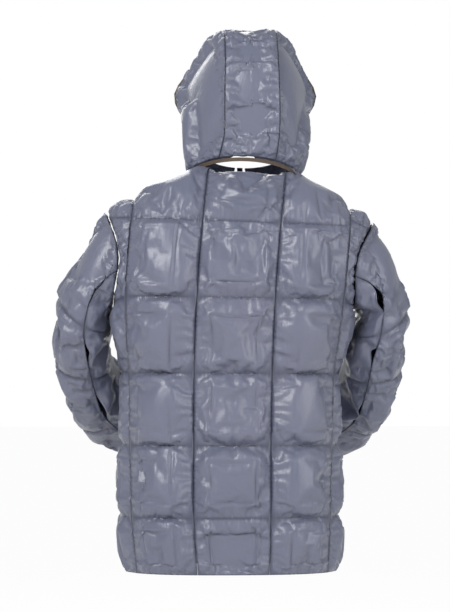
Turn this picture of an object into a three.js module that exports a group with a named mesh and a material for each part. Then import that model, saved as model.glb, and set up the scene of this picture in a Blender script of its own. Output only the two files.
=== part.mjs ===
// A hooded, block-quilted puffer jacket, filled out as worn, with its arms bent forward.
// Millimetres, +Z up. The front faces -Y and the wearer's left is +X.
// The origin is the middle of the neck seam ring, where the wearer's shoulders carry the jacket.
import * as THREE from "three";

// ---- cloth and seams ----
const SEAM_WALL = 3; // cloth and padding stitched flat along a seam
const SEAM_GAP = 0.3; // between two pieces sewn together
const PUFF_OUT = 11; // how far a quilted block stands out at its middle
const PUFF_IN = 5; // how far its lining side stands in
const HOOD_PUFF = 5;
const COLLAR_PUFF = 5;
const PUFF_SQUARENESS = 0.6; // below 1 fills a block out towards its corners

// ---- neck ----
const NECK_HALF_WIDTH = 98;
const NECK_HALF_DEPTH = 82;
const NECK_CENTRE_Y = -10;
const NECK_CENTRE_Z = -20;
const NECK_RISE = 32; // the back of the ring stands this far above its middle, and the front as far below
const COLLAR_HEIGHT = 62;
const COLLAR_LEAN = 0.12; // share of the ring's width lost over the collar's height

// ---- armholes ----
const ARMHOLE_Z = -172;
const ARMHOLE_HALF_HEIGHT = 84;
const ARMHOLE_HALF_WIDTH = 75;

// ---- front zip ----
const ZIP_WIDTH = 12;
const ZIP_THICKNESS = 2.4;
const HOOD_ZIP_HEIGHT = 7;
const HOOD_ZIP_THICKNESS = 1.2;
const HOOD_FRONT_X = 58; // the hood's front edges stop this far either side of the zip
const BINDING_RADIUS = 3.5;
const COLLAR_FRONT_X = 9; // the collar's ends stop this far either side of the zip's middle
const SLIDER = { width: 10, height: 10, base: 6, ear: 2.2, reach: 3.4, place: 0.75, clear: 1.6 };
const PULL = { width: 5, pin: 1.2, thickness: 1.6, length: 24 };

// Stitch rows of the body, hem first. Half widths and depths run to the middle of the cloth's wall;
// centreSeam and outerSeam are how far the upright seams stand from the middle.
const BODY_ROWS = [
  { z: -750, halfWidth: 198, back: 124, front: 132, square: 2.6, centreSeam: 66, outerSeam: 176 },
  { z: -645, halfWidth: 204, back: 130, front: 138, square: 2.6, centreSeam: 71, outerSeam: 183 },
  { z: -512, halfWidth: 200, back: 122, front: 136, square: 2.6, centreSeam: 71, outerSeam: 187 },
  { z: -378, halfWidth: 200, back: 118, front: 132, square: 2.6, centreSeam: 72, outerSeam: 191 },
  { z: -238, halfWidth: 226, back: 130, front: 130, square: 2.9, centreSeam: 72, outerSeam: 202 },
  { z: -98, halfWidth: 246, back: 116, front: 108, square: 2.9, centreSeam: 72, outerSeam: 203 },
];
const ARMPIT_Z = ARMHOLE_Z - ARMHOLE_HALF_HEIGHT;
const ARMPIT_ROW = 4; // the row that runs into the armpit
const YOKE_ROW = 5; // the row that the yoke stands on
const TOP_ROW = 6;

// The shoulder seam from the side of the neck to the tip of the shoulder.
const SHOULDER_SEAM = [
  { x: 98, y: -13, z: -21 },
  { x: 150, y: -8, z: -42 },
  { x: 200, y: -4, z: -64 },
  { x: 244, y: 0, z: -88 },
];
const NECK_SIDE_ANGLE = THREE.MathUtils.degToRad(92); // where the shoulder seam leaves the neck ring

// How the figure stands: its middle line and the tilt of its shoulders, at some heights.
const POSE_ROWS = [
  { z: -760, middle: 29, tilt: 0.0 },
  { z: -645, middle: 32, tilt: 0.0 },
  { z: -378, middle: 30, tilt: 0.005 },
  { z: -238, middle: 25, tilt: 0.016 },
  { z: -98, middle: 14, tilt: 0.037 },
  { z: 20, middle: 0, tilt: 0.05 },
];

// Rings down a sleeve, armhole first: the centre, which way the arm runs (drop below level, heading from
// straight out towards the front), how far the ring's top has rolled outwards, and its two radii.
const SLEEVE_RINGS = {
  left: [
    { x: 279, y: -7, z: -201, drop: 15, heading: 10, roll: 18, out: 70, deep: 78 },
    { x: 301, y: -27, z: -266, drop: 51, heading: 30, roll: 50, out: 54, deep: 80 },
    { x: 307, y: -56, z: -316, drop: 66, heading: 60, roll: 75, out: 51, deep: 80 },
    { x: 305, y: -90, z: -360, drop: 66, heading: 80, roll: 90, out: 54, deep: 78 },
    { x: 289, y: -120, z: -405, drop: 45, heading: 105, roll: 90, out: 60, deep: 73 },
    { x: 262, y: -156, z: -440, drop: 36, heading: 125, roll: 90, out: 57, deep: 66 },
    { x: 222, y: -188, z: -474, drop: 32, heading: 138, roll: 90, out: 52, deep: 57 },
    { x: 172, y: -218, z: -508, drop: 28, heading: 148, roll: 90, out: 45, deep: 46 },
  ],
  right: [
    { x: 248, y: -8, z: -210, drop: 24, heading: 10, roll: 27, out: 62, deep: 78 },
    { x: 251, y: -30, z: -281, drop: 58, heading: 35, roll: 60, out: 54, deep: 80 },
    { x: 248, y: -54, z: -328, drop: 70, heading: 62, roll: 80, out: 54, deep: 80 },
    { x: 246, y: -84, z: -370, drop: 68, heading: 80, roll: 90, out: 56, deep: 78 },
    { x: 235, y: -118, z: -412, drop: 45, heading: 105, roll: 90, out: 58, deep: 73 },
    { x: 211, y: -152, z: -446, drop: 36, heading: 125, roll: 90, out: 56, deep: 66 },
    { x: 178, y: -182, z: -476, drop: 32, heading: 138, roll: 90, out: 51, deep: 57 },
    { x: 135, y: -212, z: -506, drop: 28, heading: 148, roll: 90, out: 45, deep: 46 },
  ],
};
const SLEEVE_LIFT = 5; // the sleeve heads stand this far off the wall of the body
const SLEEVE_SEAM = THREE.MathUtils.degToRad(105); // the two long seams, from the top line of the arm

// Ribs over the hood, from the neck seam up and over to the face edge: the rib's highest or rearmost
// point, its lowest front point, and half widths at five places down its side.
const HOOD_RIBS = [
  { topY: 88, topZ: 70, frontY: -97, frontZ: -36, crown: 51, temple: 90, cheek: 102, jaw: 96, throat: 59 },
  { topY: 100, topZ: 135, frontY: -99, frontZ: -26, crown: 51, temple: 92, cheek: 104, jaw: 97, throat: 60 },
  { topY: 88, topZ: 205, frontY: -102, frontZ: -14, crown: 49, temple: 91, cheek: 108, jaw: 98, throat: 60 },
  { topY: 40, topZ: 262, frontY: -105, frontZ: -2, crown: 48, temple: 90, cheek: 119, jaw: 96, throat: 60 },
  { topY: -35, topZ: 276, frontY: -109, frontZ: 9, crown: 48, temple: 87, cheek: 128, jaw: 91, throat: 59 },
  { topY: -108, topZ: 266, frontY: -114, frontZ: 20, crown: 50, temple: 86, cheek: 134, jaw: 88, throat: 58 },
];
const RIB_REACH = { crown: 0.965, temple: 0.8, cheek: 0.52, jaw: 0.22, throat: 0 };
const RIB_PLACES = [0.22, 0.42, 0.64, 0.84, 1]; // where those five places lie along half a rib
const HOOD_SEAM = 0.22; // the centre panel's seams
const HOOD_TOP_LEAN = -7; // the crown leans this far sideways

// ---- colours ----
const NYLON = { color: 0x6f7688, roughness: 0.35, metalness: 0.0 };
const BRONZE_TAPE = { color: 0x4a3c30, roughness: 0.5, metalness: 0.3 };
const DARK_TAPE = { color: 0x2c3140, roughness: 0.6, metalness: 0.0 };
const METAL = { color: 0x8c8f94, roughness: 0.35, metalness: 1.0 };

const { lerp, clamp } = THREE.MathUtils;
const vec = (x, y, z) => new THREE.Vector3(x, y, z);
const mirrored = (p) => vec(-p.x, p.y, p.z);

// A smooth value between four evenly spaced ones.
function catmull(a, b, c, d, t) {
  const bend = 2 * a - 5 * b + 4 * c - d;
  return 0.5 * (2 * b + (c - a) * t + bend * t * t + (3 * b - a - 3 * c + d) * t ** 3);
}

// Reads one column of a table at a row number that needn't be whole.
function column(rows, name, at) {
  const row = clamp(Math.floor(at), 0, rows.length - 2);
  const pick = (i) => rows[clamp(i, 0, rows.length - 1)][name];
  return catmull(pick(row - 1), pick(row), pick(row + 1), pick(row + 2), clamp(at - row, 0, 1));
}

// The same for a list of points.
function pointAlong(points, at) {
  return vec(column(points, "x", at), column(points, "y", at), column(points, "z", at));
}

// The row number of POSE_ROWS at a height.
function poseRow(z) {
  const above = POSE_ROWS.findIndex((row) => row.z > z);
  if (above < 1) return above < 0 ? POSE_ROWS.length - 1 : 0;
  const low = POSE_ROWS[above - 1];
  return above - 1 + (z - low.z) / (POSE_ROWS[above].z - low.z);
}

// Leans a point of the upright, even jacket into the figure's stance.
function posed(p) {
  const row = poseRow(p.z);
  return vec(p.x + column(POSE_ROWS, "middle", row), p.y, p.z + p.x * column(POSE_ROWS, "tilt", row));
}

// ---- the body ----

// A point on the body's level section at a row: angle 0 is the middle of the back or front, and a
// quarter turn is the side.
function sectionPoint(row, angle, z, facing) {
  const power = 2 / column(BODY_ROWS, "square", row);
  const halfWidth = column(BODY_ROWS, "halfWidth", row);
  const depth = column(BODY_ROWS, facing, row);
  const sign = facing === "back" ? 1 : -1;
  const x = halfWidth * Math.max(Math.sin(angle), 0) ** power;
  return vec(x, sign * depth * Math.max(Math.cos(angle), 0) ** power, z);
}

// The angle at which the section at a row is this far out from the middle.
function angleAtWidth(row, x) {
  const share = clamp(x / column(BODY_ROWS, "halfWidth", row), 0, 1);
  return Math.asin(share ** (column(BODY_ROWS, "square", row) / 2));
}

// The angle at which the section at a row has this depth.
function angleAtDepth(row, y, facing) {
  const share = clamp(y / column(BODY_ROWS, facing, row), 0, 1);
  return Math.acos(share ** (column(BODY_ROWS, "square", row) / 2));
}

const armholeAngleAt = (z) => Math.acos(clamp((z - ARMHOLE_Z) / ARMHOLE_HALF_HEIGHT, -1, 1));
const YOKE_ARMHOLE_ANGLE = armholeAngleAt(BODY_ROWS[YOKE_ROW].z);

// Height and half width of the armhole at an angle from its top.
function armholeAt(turn) {
  return {
    z: ARMHOLE_Z + ARMHOLE_HALF_HEIGHT * Math.cos(turn),
    y: ARMHOLE_HALF_WIDTH * Math.abs(Math.sin(turn)),
  };
}

// The row number of BODY_ROWS at a height.
function bodyRow(z) {
  const above = BODY_ROWS.findIndex((row) => row.z > z);
  if (above < 0) return BODY_ROWS.length - 1;
  const low = BODY_ROWS[above - 1];
  return above - 1 + (z - low.z) / (BODY_ROWS[above].z - low.z);
}

// A point on the armhole's edge; positive turns go over the back.
function armholeEdge(turn) {
  const facing = Math.sin(turn) >= 0 ? "back" : "front";
  const { y, z } = armholeAt(turn);
  const row = bodyRow(z);
  return posed(sectionPoint(row, angleAtDepth(row, y, facing), z, facing));
}

// Where a side panel's outer edge lies at a row: the side seam, then round the armhole.
function sideEdge(row, facing) {
  if (row <= ARMPIT_ROW) {
    const heights = BODY_ROWS.map((r, i) => ({ z: i === ARMPIT_ROW ? ARMPIT_Z : r.z }));
    return { angle: Math.PI / 2, z: column(heights.slice(0, ARMPIT_ROW + 1), "z", row) };
  }
  const turn = lerp(Math.PI, YOKE_ARMHOLE_ANGLE, Math.min(row - ARMPIT_ROW, 1));
  const { y, z } = armholeAt(turn);
  return { angle: angleAtDepth(bodyRow(z), y, facing), z };
}

// The neck ring, before the stance: turn 0 is the back.
function neckRing(turn) {
  return vec(
    NECK_HALF_WIDTH * Math.sin(turn),
    NECK_CENTRE_Y + NECK_HALF_DEPTH * Math.cos(turn),
    NECK_CENTRE_Z + NECK_RISE * Math.cos(turn),
  );
}

const shoulderSeam = (share) => pointAlong(SHOULDER_SEAM, share * (SHOULDER_SEAM.length - 1));
const OUTER_SEAM_ON_SHOULDER = 2 / 3;

// Upright seams of the body's back and front, as column numbers from the middle outwards.
const CENTRE_SEAM_COLUMN = 1;
const OUTER_SEAM_COLUMN = 2;
const SIDE_COLUMN = 3;
const NECK_CORNER_COLUMN = 1.5; // the neck's side, between the two seams

// How the top edge of the back or front runs: round the neck, then along the shoulder.
function topEdge(col, facing) {
  const seamTurn = Math.asin(BODY_ROWS[YOKE_ROW].centreSeam / NECK_HALF_WIDTH);
  const [middle, first, side] =
    facing === "back"
      ? [0, seamTurn, NECK_SIDE_ANGLE]
      : [Math.PI, Math.PI - seamTurn, NECK_SIDE_ANGLE];
  if (col <= CENTRE_SEAM_COLUMN) return neckRing(lerp(middle, first, col));
  if (col <= NECK_CORNER_COLUMN) return neckRing(lerp(first, side, (col - 1) * 2));
  if (col <= OUTER_SEAM_COLUMN)
    return shoulderSeam((col - NECK_CORNER_COLUMN) * 2 * OUTER_SEAM_ON_SHOULDER);
  return shoulderSeam(lerp(OUTER_SEAM_ON_SHOULDER, 1, col - OUTER_SEAM_COLUMN));
}

// A point of the body below the yoke.
function belowYoke(col, row, facing) {
  const centre = angleAtWidth(row, column(BODY_ROWS, "centreSeam", row));
  const outer = angleAtWidth(row, column(BODY_ROWS, "outerSeam", row));
  const z = column(BODY_ROWS, "z", row);
  if (col <= CENTRE_SEAM_COLUMN) return sectionPoint(row, lerp(0, centre, col), z, facing);
  if (col <= OUTER_SEAM_COLUMN)
    return sectionPoint(row, lerp(centre, outer, col - CENTRE_SEAM_COLUMN), z, facing);
  const edge = sideEdge(row, facing);
  const share = col - OUTER_SEAM_COLUMN;
  const height = lerp(z, edge.z, share);
  return sectionPoint(bodyRow(height), lerp(outer, edge.angle, share), height, facing);
}

// How full the yoke's curve is: nearly straight up to the neck, round over the shoulder.
const YOKE_FULLNESS = [
  { full: 0.3 },
  { full: 0.38 },
  { full: 0.78 },
  { full: 0.8 },
];

// A point of the yoke, on a curve from the row below it up to the neck or shoulder.
function onYoke(col, share, facing) {
  const start = belowYoke(col, YOKE_ROW, facing);
  const end = topEdge(col, facing);
  const corner = vec((start.x + end.x) / 2, start.y, end.z);
  const middle = start.clone().lerp(end, 0.5).lerp(corner, column(YOKE_FULLNESS, "full", col));
  const rising = start.clone().lerp(middle, share);
  return rising.lerp(middle.clone().lerp(end, share), share);
}

// A point of the body: col runs from -3 at the right side to 3 at the left, row from hem to top edge.
function bodyPoint(col, row, facing) {
  const out = clamp(Math.abs(col), 0, SIDE_COLUMN);
  const up = clamp(row, 0, TOP_ROW);
  const p =
    up <= YOKE_ROW ? belowYoke(out, up, facing) : onYoke(out, up - YOKE_ROW, facing);
  return posed(col < 0 ? mirrored(p) : p);
}

// ---- sleeves ----

// One ring of a left sleeve as a function of the turn round the arm: 0 on top, a quarter at the back.
function sleeveRing(ring) {
  const [drop, heading, roll] = [ring.drop, ring.heading, ring.roll].map(THREE.MathUtils.degToRad);
  const along = vec(
    Math.cos(drop) * Math.cos(heading),
    -Math.cos(drop) * Math.sin(heading),
    -Math.sin(drop),
  );
  const top = vec(Math.sin(roll), 0, Math.cos(roll));
  top.addScaledVector(along, -top.dot(along)).normalize();
  const rear = top.clone().cross(along);
  return (turn) =>
    vec(ring.x, ring.y, ring.z)
      .addScaledVector(top, ring.out * Math.cos(turn))
      .addScaledVector(rear, ring.deep * Math.sin(turn));
}

// The surface of a sleeve: turn round the arm, at 0 (armhole) to 8 (cuff) down it, in left-arm space.
function sleeveSurface(side) {
  const rings = SLEEVE_RINGS[side].map(sleeveRing);
  const head = (turn) => {
    const t = Math.atan2(Math.sin(turn), Math.cos(turn));
    const edge = armholeEdge(t);
    // the right armhole is the left one with the stance's lean and tilt turned round
    if (side === "left") return edge.add(vec(SLEEVE_LIFT, 0, 0));
    const even = unposedArmhole(t);
    const other = posed(mirrored(even));
    return mirrored(other).add(vec(SLEEVE_LIFT, 0, 0));
  };
  return (turn, at) => pointAlong([head(turn), ...rings.map((ring) => ring(turn))], at);
}

function unposedArmhole(turn) {
  const facing = Math.sin(turn) >= 0 ? "back" : "front";
  const { y, z } = armholeAt(turn);
  const row = bodyRow(z);
  return sectionPoint(row, angleAtDepth(row, y, facing), z, facing);
}

// ---- hood and collar ----

// One rib of the hood: at -1 its right front end, 0 the crown, 1 its left front end.
function hoodRib(rib) {
  const names = Object.keys(RIB_REACH);
  const places = [0, ...RIB_PLACES];
  const points = [
    { x: 0, reach: 1 },
    ...names.map((name) => ({ x: rib[name], reach: RIB_REACH[name] })),
  ];
  return (at) => {
    const side = Math.abs(at);
    const cell = clamp(places.findIndex((place) => place >= side) - 1, 0, places.length - 2);
    const row = cell + (side - places[cell]) / (places[cell + 1] - places[cell]);
    const mirroredPoints = [{ x: -points[1].x, reach: points[1].reach }, ...points];
    const reach = column(mirroredPoints, "reach", row + 1);
    const x = column(mirroredPoints, "x", row + 1);
    const lean = HOOD_TOP_LEAN * Math.max(lerp(rib.frontZ, rib.topZ, reach) / rib.topZ, 0);
    return vec(
      Math.sign(at) * x + lean,
      lerp(rib.frontY, rib.topY, reach),
      lerp(rib.frontZ, rib.topZ, reach),
    );
  };
}

const HOOD_FRONT_TURN = Math.PI - Math.asin(HOOD_FRONT_X / NECK_HALF_WIDTH);
const HOOD_ZIP_LIFT = 3; // the strip's lower edge above the neck seam
const HOOD_LIFT = HOOD_ZIP_LIFT + HOOD_ZIP_HEIGHT + 3; // the hood's lower edge above the neck seam
const HOOD_OFFSET = 1.6; // the hood's wall outside the neck seam

// The neck ring moved outwards and up, in the figure's stance.
function neckLine(turn, outward, up) {
  const p = neckRing(turn);
  const flat = vec(p.x, (p.y - NECK_CENTRE_Y) * (NECK_HALF_WIDTH / NECK_HALF_DEPTH), 0).normalize();
  return posed(p.addScaledVector(flat, outward)).add(vec(0, 0, up));
}

// The hood's surface: across from -1 to 1 as on a rib, at 0 (neck) to 6 (face edge).
function hoodPoint(across, at) {
  const neck = neckLine(across * HOOD_FRONT_TURN, HOOD_OFFSET, HOOD_LIFT);
  return pointAlong([neck, ...HOOD_RIBS.map((rib) => hoodRib(rib)(across))], at);
}

// The collar's surface inside the hood: turn round the neck, share of its height.
function collarPoint(turn, share) {
  const p = neckRing(turn);
  const shrink = 1 - COLLAR_LEAN * share;
  const lowered = vec(
    p.x * shrink,
    NECK_CENTRE_Y + (p.y - NECK_CENTRE_Y) * shrink,
    p.z,
  );
  return posed(lowered).add(vec(0, 0, share * COLLAR_HEIGHT));
}

// ---- walls ----

const spread = (from, to, steps) =>
  Array.from({ length: steps + 1 }, (_, i) => lerp(from, to, i / steps));

// Turns a surface patch into a closed wall. surface(u, v) gives points, outsideFirst says which way is
// out, and thick(u, v) gives how far the wall stands out of and into the surface there.
function wall(us, vs, surface, thick, flip = false) {
  const EDGE = 1e-3;
  const positions = [];
  const index = [];
  const across = us.length;
  const put = (p) => positions.push(p.x, p.y, p.z);
  const layers = [1, -1].map((side) =>
    vs.forEach((v) =>
      us.forEach((u) => {
        const p = surface(u, v);
        const du = surface(u + EDGE, v).sub(surface(u - EDGE, v));
        const dv = surface(u, v + EDGE).sub(surface(u, v - EDGE));
        const normal = du.cross(dv).normalize();
        if (flip) normal.negate();
        const { out, into } = thick(u, v);
        put(p.addScaledVector(normal, side > 0 ? out : -into));
      }),
    ),
  );
  const size = us.length * vs.length * (layers.length / 2);
  const quad = (a, b, c, d) =>
    flip ? index.push(a, c, b, a, d, c) : index.push(a, b, c, a, c, d);
  const at = (i, j, layer) => layer * size + j * across + i;
  for (let j = 0; j < vs.length - 1; j++)
    for (let i = 0; i < across - 1; i++) {
      quad(at(i, j, 0), at(i + 1, j, 0), at(i + 1, j + 1, 0), at(i, j + 1, 0));
      quad(at(i, j, 1), at(i, j + 1, 1), at(i + 1, j + 1, 1), at(i + 1, j, 1));
    }
  const last = { i: across - 1, j: vs.length - 1 };
  for (let i = 0; i < last.i; i++) {
    quad(at(i, 0, 0), at(i, 0, 1), at(i + 1, 0, 1), at(i + 1, 0, 0));
    quad(at(i, last.j, 0), at(i + 1, last.j, 0), at(i + 1, last.j, 1), at(i, last.j, 1));
  }
  for (let j = 0; j < last.j; j++) {
    quad(at(0, j, 0), at(0, j + 1, 0), at(0, j + 1, 1), at(0, j, 1));
    quad(at(last.i, j, 0), at(last.i, j, 1), at(last.i, j + 1, 1), at(last.i, j + 1, 0));
  }
  const geometry = new THREE.BufferGeometry();
  geometry.setAttribute("position", new THREE.Float32BufferAttribute(positions, 3));
  geometry.setIndex(index);
  geometry.computeVertexNormals();
  return geometry;
}

// How full a quilted block is at a place in it, both from 0 to 1 across the block.
const fullness = (u, v) =>
  Math.max(Math.sin(Math.PI * u) * Math.sin(Math.PI * v), 0) ** PUFF_SQUARENESS;

// Wall depths for a block that swells by these amounts.
const swelling = (full, out, into) => ({
  out: SEAM_WALL / 2 + out * full,
  into: SEAM_WALL / 2 + into * full,
});

const part = new THREE.Group();

function add(name, geometry, finish) {
  const mesh = new THREE.Mesh(geometry, new THREE.MeshStandardMaterial(finish));
  mesh.name = name;
  part.add(mesh);
  return mesh;
}

// Divisions of a row of blocks: few where the body is plain, more round the armhole.
const ROW_STEPS = [4, 4, 4, 4, 5, 4];

// Row numbers up a body panel, each block divided, the top edge just short of the seam.
function bodyRows() {
  const rows = ROW_STEPS.flatMap((steps, row) => spread(row, row + 1, steps).slice(0, -1));
  return [...rows, TOP_ROW - 0.004];
}

// One panel of the body between two columns, with so many blocks across.
function bodyPanel(name, from, to, blocks, steps, facing) {
  const us = spread(from, to, blocks * steps);
  const across = (u) => (((u - from) / (to - from)) * blocks) % 1;
  const thick = (u, v) => swelling(fullness(across(u), v % 1), PUFF_OUT, PUFF_IN);
  const surface = (u, v) => bodyPoint(u, v, facing);
  add(name, wall(us, bodyRows(), surface, thick, facing === "back"), NYLON);
}

function makeBody() {
  const inset = 0.003; // in columns: half the gap between two panels
  const sideInset = 0.006;
  const centre = CENTRE_SEAM_COLUMN - inset;
  const [inner, outer] = [CENTRE_SEAM_COLUMN + inset, OUTER_SEAM_COLUMN - inset];
  const [strip, side] = [OUTER_SEAM_COLUMN + inset, SIDE_COLUMN - sideInset];
  bodyPanel("back_centre", -centre, centre, 1, 4, "back");
  bodyPanel("back_left", inner, outer, 1, 4, "back");
  bodyPanel("back_right", -outer, -inner, 1, 4, "back");
  bodyPanel("back_side_left", strip, side, 1, 2, "back");
  bodyPanel("back_side_right", -side, -strip, 1, 2, "back");
  const zipEdge = (ZIP_WIDTH / 2 + SEAM_GAP) / BODY_ROWS[0].centreSeam + 0.01;
  bodyPanel("front_left", zipEdge, outer, 2, 4, "front");
  bodyPanel("front_right", -outer, -zipEdge, 2, 4, "front");
  bodyPanel("front_side_left", strip, side, 1, 2, "front");
  bodyPanel("front_side_right", -side, -strip, 1, 2, "front");
}

// One half of a sleeve between two turns round the arm.
function sleevePanel(name, side, from, to, steps) {
  const surface = sleeveSurface(side);
  const us = spread(from + 0.004, to - 0.004, steps);
  const vs = [0, 0.5, 1, 1.5, 2, 2.5, 3, 3.5, 4, 4.5, 5, 5.5, 6, 6.5, 7, 7.5, 8];
  const pressed = (turn) => 0.5 + 0.5 * Math.cos(turn); // the inner side is pressed flat by the body
  const thick = (u, v) => {
    const channel = Math.abs(Math.sin((Math.PI * v) / 2)) ** PUFF_SQUARENESS;
    const seam = Math.abs(Math.sin((Math.PI * (u - from)) / (to - from))) ** 0.5;
    return swelling(channel * seam, PUFF_OUT * pressed(u), PUFF_IN * pressed(u));
  };
  const placed = side === "left" ? surface : (u, v) => mirrored(surface(u, v));
  add(name, wall(us, vs, placed, thick, side === "left"), NYLON);
}

function makeSleeve(side) {
  sleevePanel(`sleeve_${side}_upper`, side, -SLEEVE_SEAM, SLEEVE_SEAM, 12);
  sleevePanel(`sleeve_${side}_under`, side, SLEEVE_SEAM, 2 * Math.PI - SLEEVE_SEAM, 8);
}

// One panel of the hood between two places across it.
function hoodPanel(name, from, to, steps) {
  const us = spread(from, to, steps);
  const vs = spread(0, HOOD_RIBS.length, 13);
  const thick = (u, v) => {
    const share = (u - from) / (to - from);
    return swelling(fullness(share, v / HOOD_RIBS.length), HOOD_PUFF, 0);
  };
  add(name, wall(us, vs, hoodPoint, thick, true), NYLON);
}

function makeHood() {
  const inset = 0.002;
  hoodPanel("hood_centre", -HOOD_SEAM + inset, HOOD_SEAM - inset, 6);
  hoodPanel("hood_left", HOOD_SEAM + inset, 1, 9);
  hoodPanel("hood_right", -1, -HOOD_SEAM - inset, 9);
  const edge = spread(-1, 1, 32).map((across) => hoodPoint(across, HOOD_RIBS.length));
  const path = new THREE.CatmullRomCurve3(edge.map((p) => p.add(vec(0, -BINDING_RADIUS - 2, 0))));
  const round = new THREE.Shape().absarc(0, 0, BINDING_RADIUS, 0, 2 * Math.PI);
  const options = { steps: 40, extrudePath: path, curveSegments: 4, bevelEnabled: false };
  add("hood_edge_binding", new THREE.ExtrudeGeometry(round, options), BRONZE_TAPE);
}

// The collar stands inside the hood, open at the front for the zip.
function makeCollar() {
  const opening = Math.asin(COLLAR_FRONT_X / NECK_HALF_WIDTH);
  const us = spread(-Math.PI + opening, Math.PI - opening, 32);
  const surface = (u, v) => collarPoint(u, v);
  const lining = SEAM_WALL / 2;
  const thick = (u, v) => ({ out: -0.3, into: 2 * lining + COLLAR_PUFF * fullness(0.5, v) });
  add("collar", wall(us, spread(0.05, 1, 4), surface, thick, true), NYLON);
}

// The tape and coil that join the hood to the neck seam.
function makeHoodZip() {
  const surface = (u, v) => neckLine(u, HOOD_OFFSET, HOOD_ZIP_LIFT + v * HOOD_ZIP_HEIGHT);
  const half = HOOD_ZIP_THICKNESS / 2;
  const us = spread(-HOOD_FRONT_TURN, HOOD_FRONT_TURN, 32);
  add("hood_zip", wall(us, [0, 1], surface, () => ({ out: half, into: half }), true), BRONZE_TAPE);
}

// The closed front zip: coil and tapes in one strip, from the hem to the top of the collar.
function makeFrontZip() {
  const half = ZIP_THICKNESS / 2;
  const collarTurn = (u) => Math.PI - Math.asin((u * ZIP_WIDTH) / 2 / NECK_HALF_WIDTH);
  const surface = (u, v) =>
    v <= TOP_ROW
      ? bodyPoint((u * ZIP_WIDTH) / 2 / BODY_ROWS[0].centreSeam, v, "front")
      : collarPoint(collarTurn(u), v - TOP_ROW);
  const rows = [...spread(0, TOP_ROW, 18), TOP_ROW + 0.5, TOP_ROW + 1];
  add("front_zip", wall([-1, 1], rows, surface, () => ({ out: half, into: half })), DARK_TAPE);
}

// The slider near the top of the zip, with two ears, and the pull that hangs from the pin between them.
function makeSlider() {
  const seat = collarPoint(Math.PI, SLIDER.place);
  const back = seat.y - ZIP_THICKNESS / 2 - SLIDER.clear;
  const [half, inner] = [SLIDER.width / 2, SLIDER.width / 2 - SLIDER.ear];
  const outline = [
    [-half, 0],
    [half, 0],
    [half, -SLIDER.base - SLIDER.reach],
    [inner, -SLIDER.base - SLIDER.reach],
    [inner, -SLIDER.base],
    [-inner, -SLIDER.base],
    [-inner, -SLIDER.base - SLIDER.reach],
    [-half, -SLIDER.base - SLIDER.reach],
  ].map(([x, y]) => new THREE.Vector2(x, y));
  const body = new THREE.ExtrudeGeometry(new THREE.Shape(outline), {
    depth: SLIDER.height,
    bevelEnabled: false,
  });
  add("zip_slider", body.translate(seat.x, back, seat.z - SLIDER.height / 2), METAL);

  // the pull's side outline: a pin at the top with a flat tongue below it
  const side = new THREE.Shape();
  const neck = Math.asin(PULL.thickness / 2 / PULL.pin);
  side.absarc(0, 0, PULL.pin, -Math.PI / 2 + neck, 1.5 * Math.PI - neck);
  side.lineTo(-PULL.thickness / 2, -PULL.length);
  side.lineTo(PULL.thickness / 2, -PULL.length);
  const tongue = new THREE.ExtrudeGeometry(side, {
    depth: PULL.width,
    bevelEnabled: false,
    curveSegments: 8,
  });
  tongue.translate(0, 0, -PULL.width / 2);
  tongue.applyMatrix4(new THREE.Matrix4().makeBasis(vec(0, 1, 0), vec(0, 0, 1), vec(1, 0, 0)));
  const pinY = back - SLIDER.base - SEAM_GAP - PULL.pin;
  add("zip_pull", tongue.translate(seat.x, pinY, seat.z), METAL);
}

makeBody();
makeSleeve("left");
makeSleeve("right");
makeHood();
makeCollar();
makeHoodZip();
makeFrontZip();
makeSlider();

export default part;
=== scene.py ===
"""A worn, hooded, block-quilted puffer jacket in glossy slate nylon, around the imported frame."""
import math

import bmesh
import bpy
import numpy as np
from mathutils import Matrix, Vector
from mathutils.kdtree import KDTree


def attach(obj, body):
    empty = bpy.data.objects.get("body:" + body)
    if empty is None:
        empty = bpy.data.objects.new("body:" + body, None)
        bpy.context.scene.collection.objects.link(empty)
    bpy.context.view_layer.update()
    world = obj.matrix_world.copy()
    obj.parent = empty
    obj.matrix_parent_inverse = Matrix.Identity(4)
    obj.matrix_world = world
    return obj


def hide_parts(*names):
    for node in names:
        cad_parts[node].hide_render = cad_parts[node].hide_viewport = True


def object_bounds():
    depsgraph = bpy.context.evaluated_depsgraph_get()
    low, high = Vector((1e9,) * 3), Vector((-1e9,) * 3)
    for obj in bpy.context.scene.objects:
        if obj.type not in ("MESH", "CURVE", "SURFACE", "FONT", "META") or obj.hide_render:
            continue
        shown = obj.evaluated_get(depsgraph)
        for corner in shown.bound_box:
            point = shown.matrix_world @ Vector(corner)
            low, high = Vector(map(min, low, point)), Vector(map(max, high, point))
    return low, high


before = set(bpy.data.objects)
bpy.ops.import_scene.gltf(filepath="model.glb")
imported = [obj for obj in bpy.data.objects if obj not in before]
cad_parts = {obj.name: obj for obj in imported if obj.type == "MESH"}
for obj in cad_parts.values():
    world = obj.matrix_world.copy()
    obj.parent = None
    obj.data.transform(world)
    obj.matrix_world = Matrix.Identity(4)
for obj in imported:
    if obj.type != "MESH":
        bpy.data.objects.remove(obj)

MM = 0.001
CAD_BOX = [list(map(float, corner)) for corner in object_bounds()]
BODY = "jacket"
PULL_BODY = "zip_pull"

# ---- cloth ----
WALL_ALONG_SEAM = 3.4 * MM     # a stitched place has its two sides this close
EASE = 0.13                    # how much longer the nylon is than the lines it is stitched to
PRESSURE = 6.0
SETTLE_FRAMES = 16
MOST_MOVE = 15 * MM
FINE_LEVELS = 3
PLAIN_LEVELS = 2

SEWN = "sewn"                  # attribute: 1 on a stitch line, falling to 0 inside a block

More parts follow.
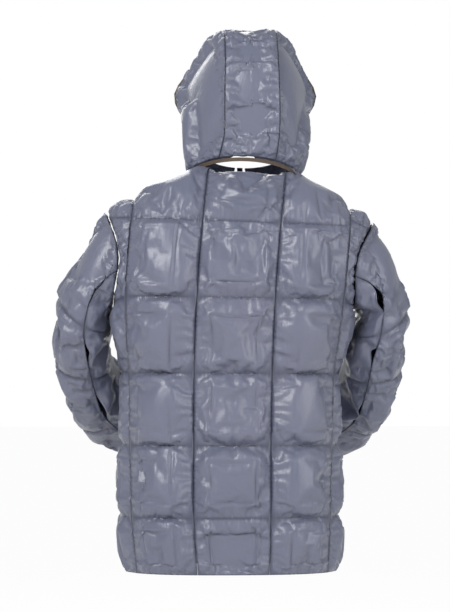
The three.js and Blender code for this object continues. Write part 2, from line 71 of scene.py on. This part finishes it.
QUILTED = [
    "back_centre", "back_left", "back_right", "back_side_left", "back_side_right",
    "front_left", "front_right", "front_side_left", "front_side_right",
    "sleeve_left_upper", "sleeve_left_under", "sleeve_right_upper", "sleeve_right_under",
    "hood_centre", "hood_left", "hood_right", "collar",
]
SEEN_FIRST = {
    "back_centre", "back_left", "back_right", "back_side_left", "back_side_right",
    "sleeve_left_upper", "sleeve_right_upper", "hood_centre", "hood_left", "hood_right",
}


# ---- camera and light ----

def make_camera():
    aim = Vector((0.040, 0.0, -0.254))
    distance = 5.5
    view_height = 1.128
    turn = math.radians(2.5)
    camera = bpy.data.objects.new("camera", bpy.data.cameras.new("camera"))
    place = aim + Vector((math.sin(turn), math.cos(turn), 0.0)) * distance
    camera.location = place
    camera.rotation_euler = (aim - place).to_track_quat("-Z", "Y").to_euler()
    camera.data.sensor_fit = "VERTICAL"
    camera.data.sensor_height = 24.0
    camera.data.lens = 24.0 * (distance - 0.12) / view_height
    bpy.context.scene.collection.objects.link(camera)
    bpy.context.scene.camera = camera


def area_light(name, place, aim, size, power):
    light = bpy.data.objects.new(name, bpy.data.lights.new(name, "AREA"))
    light.data.shape = "RECTANGLE"
    light.data.size, light.data.size_y = size
    light.data.energy = power
    light.location = place
    light.rotation_euler = (Vector(aim) - Vector(place)).to_track_quat("-Z", "Y").to_euler()
    bpy.context.scene.collection.objects.link(light)


# ---- shader maths ----

class Sock:
    """One socket of a material's tree; sums and products of sockets add their Math nodes."""

    def __init__(self, tree, socket):
        self.tree = tree
        self.socket = socket

    def maths(self, operation, other, swap=False):
        first, second = (other, self) if swap else (self, other)
        return node(self.tree, "ShaderNodeMath", {"operation": operation}, {0: first, 1: second})

    def __add__(self, other): return self.maths("ADD", other)
    def __radd__(self, other): return self.maths("ADD", other, True)
    def __sub__(self, other): return self.maths("SUBTRACT", other)
    def __rsub__(self, other): return self.maths("SUBTRACT", other, True)
    def __mul__(self, other): return self.maths("MULTIPLY", other)
    def __rmul__(self, other): return self.maths("MULTIPLY", other, True)


def node(tree, kind, settings=None, inputs=None, output=0):
    """Adds a node with its settings and the values or links of its sockets."""
    made = tree.nodes.new(kind)
    for name, value in (settings or {}).items():
        setattr(made, name, value)
    for name, value in (inputs or {}).items():
        if isinstance(value, Sock):
            tree.links.new(value.socket, made.inputs[name])
        else:
            made.inputs[name].default_value = value
    return Sock(tree, made.outputs[output]) if made.outputs else None


def new_material(name):
    material = bpy.data.materials.new(name)
    material.use_nodes = True
    tree = material.node_tree
    tree.nodes.clear()
    return material, tree


def finish_material(tree, **sockets):
    names = {name.replace("_", " "): value for name, value in sockets.items()}
    shader = node(tree, "ShaderNodeBsdfPrincipled", {}, names)
    node(tree, "ShaderNodeOutputMaterial", {}, {"Surface": shader})


def stretched(tree, place, size, turn=(0, 0, 0)):
    return node(tree, "ShaderNodeMapping", {}, {"Vector": place, "Scale": size, "Rotation": turn})


def noise(tree, place, scale, detail=3.0, rough=0.55):
    inputs = {"Vector": place, "Scale": scale, "Detail": detail, "Roughness": rough}
    return node(tree, "ShaderNodeTexNoise", {}, inputs)


def nylon_material():
    material, tree = new_material("slate_nylon")
    place = node(tree, "ShaderNodeTexCoord", output=3)
    broad = noise(tree, place, 5.0, 2.0)
    crinkle = noise(tree, stretched(tree, place, (1.6, 1.6, 0.7)), 34.0, 4.0, 0.6)
    fine = noise(tree, stretched(tree, place, (1.5, 1.5, 0.6), (0.0, 0.4, 0.0)), 95.0, 3.0, 0.6)
    weave = node(tree, "ShaderNodeTexWave", {"wave_type": "BANDS", "bands_direction": "DIAGONAL"},
                 {"Vector": place, "Scale": 700.0, "Distortion": 0.6}, output=1)
    colour = node(tree, "ShaderNodeMix", {"data_type": "RGBA"},
                  {0: broad, 6: (0.125, 0.140, 0.205, 1), 7: (0.175, 0.180, 0.245, 1)}, output=2)
    sewn = node(tree, "ShaderNodeAttribute", {"attribute_name": SEWN}, output=2)
    gather = noise(tree, stretched(tree, place, (2.2, 2.2, 0.5)), 70.0, 2.0, 0.5)
    height = crinkle * 0.5 + fine * 0.2 + weave * 0.012 + gather * sewn * 0.9 - sewn * sewn * 1.2
    normal = node(tree, "ShaderNodeBump", {}, {"Height": height, "Strength": 0.55, "Distance": 0.004})
    # painted shade: along the stitch lines the base colour is mixed toward near-black slate (0.030, 0.036,
    # 0.070), standing in for the shade that falls deep in the seam grooves
    painted_groove_shade = node(tree, "ShaderNodeMapRange", {}, {"Value": sewn, "From Min": 0.86, "From Max": 1.0,
                                                   "To Min": 0.0, "To Max": 0.75})
    colour = node(tree, "ShaderNodeMix", {"data_type": "RGBA"},
                  {0: painted_groove_shade, 6: colour, 7: (0.030, 0.036, 0.070, 1)}, output=2)
    finish_material(tree, Base_Color=colour, Roughness=0.30 + broad * 0.10, Normal=normal,
                    Coat_Weight=0.25, Coat_Roughness=0.22, Specular_IOR_Level=0.6,
                    Sheen_Weight=0.12, Sheen_Roughness=0.45)
    return material


def tape_material(name, dark, light, ribs):
    material, tree = new_material(name)
    place = node(tree, "ShaderNodeTexCoord", output=3)
    band = node(tree, "ShaderNodeTexWave", {"wave_type": "BANDS", "bands_direction": "DIAGONAL"},
                {"Vector": place, "Scale": ribs, "Distortion": 1.0}, output=1)
    patch = noise(tree, place, 40.0)
    colour = node(tree, "ShaderNodeMix", {"data_type": "RGBA"},
                  {0: band * 0.7 + patch * 0.3, 6: (*dark, 1), 7: (*light, 1)}, output=2)
    normal = node(tree, "ShaderNodeBump", {}, {"Height": band, "Strength": 0.6, "Distance": 0.0006})
    finish_material(tree, Base_Color=colour, Roughness=0.45 + patch * 0.2, Normal=normal)
    return material


def metal_material():
    material, tree = new_material("zip_metal")
    place = node(tree, "ShaderNodeTexCoord", output=3)
    scratch = noise(tree, stretched(tree, place, (1, 1, 12)), 160.0, 4.0)
    colour = node(tree, "ShaderNodeMix", {"data_type": "RGBA"},
                  {0: scratch, 6: (0.32, 0.33, 0.35, 1), 7: (0.48, 0.48, 0.50, 1)}, output=2)
    normal = node(tree, "ShaderNodeBump", {}, {"Height": scratch, "Strength": 0.2, "Distance": 0.0003})
    finish_material(tree, Base_Color=colour, Metallic=1.0, Roughness=0.25 + scratch * 0.2, Normal=normal)
    return material


# ---- quilted cloth ----

def copied_form(name):
    """A welded copy of a panel's solid, in quads, with its stitched places marked."""
    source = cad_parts[name]
    source = bpy.data.objects[source] if isinstance(source, str) else source
    mesh = source.data.copy()
    form = bpy.data.objects.new(name + "_cloth", mesh)
    bpy.context.scene.collection.objects.link(form)
    form.matrix_world = source.matrix_world.copy()
    bm = bmesh.new()
    bm.from_mesh(mesh)
    bmesh.ops.remove_doubles(bm, verts=bm.verts, dist=0.05 * MM)
    bmesh.ops.join_triangles(bm, faces=bm.faces, angle_face_threshold=1.2, angle_shape_threshold=1.4)
    bm.to_mesh(mesh)
    bm.free()
    tree = KDTree(len(mesh.vertices))
    for v in mesh.vertices:
        tree.insert(v.co, v.index)
    tree.balance()
    stitched = [v.index for v in mesh.vertices
                if len(tree.find_range(v.co, WALL_ALONG_SEAM)) > 1]
    sewn = set(stitched)
    crease = mesh.attributes.new("crease_edge", "FLOAT", "EDGE")
    crease.data.foreach_set("value", [float(sewn.issuperset(e.vertices)) for e in mesh.edges])
    group = form.vertex_groups.new(name="stitched")
    group.add(stitched, 1.0, "REPLACE")
    return form


def applied(form):
    """Turns a piece's modifiers into its mesh."""
    depsgraph = bpy.context.evaluated_depsgraph_get()
    mesh = bpy.data.meshes.new_from_object(form.evaluated_get(depsgraph), preserve_all_data_layers=True,
                                           depsgraph=depsgraph)
    form.modifiers.clear()
    old = form.data
    form.data = mesh
    bpy.data.meshes.remove(old)


def subdivided(form, levels):
    modifier = form.modifiers.new("round", "SUBSURF")
    modifier.levels = modifier.render_levels = levels
    applied(form)


def filled(form):
    """Blows the padding up between the stitch lines, which stay where they are sewn."""
    group = form.vertex_groups["stitched"]
    held = form.vertex_groups.new(name="held")
    for v in form.data.vertices:
        weight = next((g.weight for g in v.groups if g.group == group.index), 0.0)
        if weight > 0.9:
            held.add([v.index], 1.0, "REPLACE")
    start = np.empty(len(form.data.vertices) * 3)
    form.data.vertices.foreach_get("co", start)
    cloth = form.modifiers.new("padding", "CLOTH")
    settings = cloth.settings
    settings.quality = 4
    settings.mass = 0.15
    settings.tension_stiffness = settings.compression_stiffness = 12
    settings.shear_stiffness = 3
    settings.bending_stiffness = 0.05
    settings.use_pressure = True
    settings.uniform_pressure_force = PRESSURE
    settings.shrink_min = -EASE
    settings.shrink_max = -EASE
    settings.vertex_group_mass = "held"
    settings.effector_weights.gravity = 0.0
    cloth.point_cache.frame_start = 1
    cloth.point_cache.frame_end = SETTLE_FRAMES
    for step in range(1, SETTLE_FRAMES + 1):
        bpy.context.scene.frame_set(step)
    applied(form)
    end = np.empty_like(start)
    form.data.vertices.foreach_get("co", end)
    move = (end - start).reshape(-1, 3)
    length = np.linalg.norm(move, axis=1, keepdims=True)
    move *= np.minimum(1.0, MOST_MOVE / np.maximum(length, 1e-9))
    form.data.vertices.foreach_set("co", (start.reshape(-1, 3) + move).ravel())
    form.data.update()
    bpy.context.scene.frame_set(1)


def mark_sewn(form):
    """Keeps the stitched weight as a plain attribute that the nylon's shader reads."""
    group = form.vertex_groups["stitched"].index
    weights = [next((g.weight for g in v.groups if g.group == group), 0.0) for v in form.data.vertices]
    form.data.attributes.new(SEWN, "FLOAT", "POINT").data.foreach_set("value", weights)


def make_quilted(name, nylon):
    form = copied_form(name)
    subdivided(form, FINE_LEVELS if name in SEEN_FIRST else PLAIN_LEVELS)
    filled(form)
    form.data.attributes.remove(form.data.attributes["crease_edge"])
    mark_sewn(form)
    subdivided(form, 0 if name in SEEN_FIRST else 1)
    form.data.materials.clear()
    form.data.materials.append(nylon)
    form.data.polygons.foreach_set("use_smooth", [True] * len(form.data.polygons))
    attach(form, BODY)
    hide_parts(name)


def make_stage():
    low = CAD_BOX[0][2] - 0.35
    bpy.ops.mesh.primitive_plane_add(size=30, location=(0, 0, low))
    floor = bpy.context.object
    floor.name = "floor"
    material, tree = new_material("pale_floor")
    seen = node(tree, "ShaderNodeLightPath", output=0)
    glossy = node(tree, "ShaderNodeLightPath", output=3)
    matt = node(tree, "ShaderNodeBsdfPrincipled", {}, {"Base Color": (0.8, 0.8, 0.8, 1), "Roughness": 0.9})
    glow = node(tree, "ShaderNodeEmission", {}, {"Color": (1, 1, 1, 1), "Strength": 1.0})
    both = node(tree, "ShaderNodeMixShader", {}, {0: (seen + glossy) * 0.96, 1: matt, 2: glow})
    node(tree, "ShaderNodeOutputMaterial", {}, {"Surface": both})
    floor.data.materials.append(material)
    world = bpy.data.worlds.new("studio")
    bpy.context.scene.world = world
    world.use_nodes = True
    tree = world.node_tree
    tree.nodes.clear()
    seen = node(tree, "ShaderNodeLightPath", output=0)
    soft = node(tree, "ShaderNodeBackground", {}, {"Color": (0.95, 0.97, 1.0, 1), "Strength": 0.45})
    white = node(tree, "ShaderNodeBackground", {}, {"Color": (1, 1, 1, 1), "Strength": 1.0})
    both = node(tree, "ShaderNodeMixShader", {}, {0: seen, 1: soft, 2: white})
    node(tree, "ShaderNodeOutputWorld", {}, {"Surface": both})


def finish_cad_node(name, material):
    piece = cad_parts[name]
    piece = bpy.data.objects[piece] if isinstance(piece, str) else piece
    piece.data.materials.clear()
    piece.data.materials.append(material)


make_camera()
area_light("key", (1.6, 2.4, 1.3), (0, 0, -0.25), (1.4, 1.8), 62)
area_light("fill", (-2.0, 2.0, 0.3), (0, 0, -0.3), (1.6, 2.0), 26)
area_light("front", (0.3, -2.6, 1.2), (0, 0, -0.3), (2.0, 2.0), 40)
make_stage()
bpy.context.scene.view_settings.view_transform = "Standard"

NYLON = nylon_material()
for panel in QUILTED:
    make_quilted(panel, NYLON)
BRONZE = tape_material("bronze_tape", (0.030, 0.020, 0.014), (0.16, 0.11, 0.075), 260.0)
DARK = tape_material("dark_tape", (0.012, 0.014, 0.024), (0.05, 0.055, 0.08), 320.0)
METAL = metal_material()
for strip in ("hood_zip", "hood_edge_binding"):
    finish_cad_node(strip, BRONZE)
finish_cad_node("front_zip", DARK)
finish_cad_node("zip_slider", METAL)
finish_cad_node("zip_pull", METAL)
